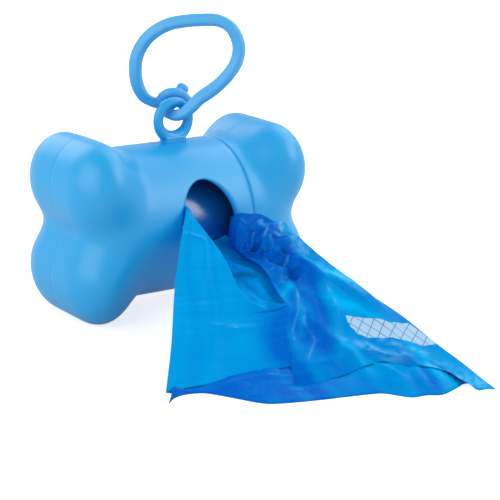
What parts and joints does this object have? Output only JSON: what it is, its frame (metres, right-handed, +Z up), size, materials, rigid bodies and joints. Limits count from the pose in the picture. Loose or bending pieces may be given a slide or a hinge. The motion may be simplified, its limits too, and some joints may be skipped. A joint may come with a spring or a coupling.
{
  "type": "dog poop bag dispenser",
  "caption": "Bone-shaped plastic case with a pull-off end for a roll of pet waste bags, one bag drawn out of its oval opening, and an elastic strap clip on top.",
  "frame": {"origin": "on the table below the middle of the barrel, halfway between the bone's two ends", "axes": "+X along the bone towards the pull-off end, -Y out of the dispensing opening, +Z up"},
  "size_m": [0.0928, 0.1389, 0.0923],
  "materials": {
    "casing_blue": "satin moulded plastic",
    "clip_blue": "soft satin elastomer",
    "roll_film": "glossy wound film",
    "bag_film": "thin crumpled glossy film",
    "cardboard": "matt brown cardboard"
  },
  "bodies": {
    "casing": {"casing_front": "casing_blue", "casing_back": "casing_blue", "eyelet": "casing_blue"},
    "cap": {"cap_front": "casing_blue", "cap_back": "casing_blue", "cap_collar": "casing_blue"},
    "roll": {"roll_core": "cardboard", "bag_roll": "roll_film"},
    "bag": {"drawn_bag": "bag_film"},
    "clip": {"clip_loop": "clip_blue"}
  },
  "joints": [
    {"name": "cap_pull", "type": "slide", "parent": "casing", "child": "cap", "axis": [1, 0, 0], "range_m": [0, 0.03]},
    {"name": "roll_spin", "type": "hinge", "parent": "casing", "child": "roll", "pos_m": [0, 0, 0.0249], "axis": [1, 0, 0], "range_deg": [0, 138.8]},
    {"name": "bag_draw", "type": "slide", "parent": "casing", "child": "bag", "axis": [0, -1, 0], "range_m": [0, 0.04]},
    {"name": "clip_swing", "type": "hinge", "parent": "casing", "child": "clip", "pos_m": [0.001, 0, 0.057], "axis": [0, 1, 0], "range_deg": [-60, 50]}
  ],
  "couplings": [
    {"joint": "bag_draw", "follows": "roll_spin", "m_per_rad": 0.0165}
  ]
}
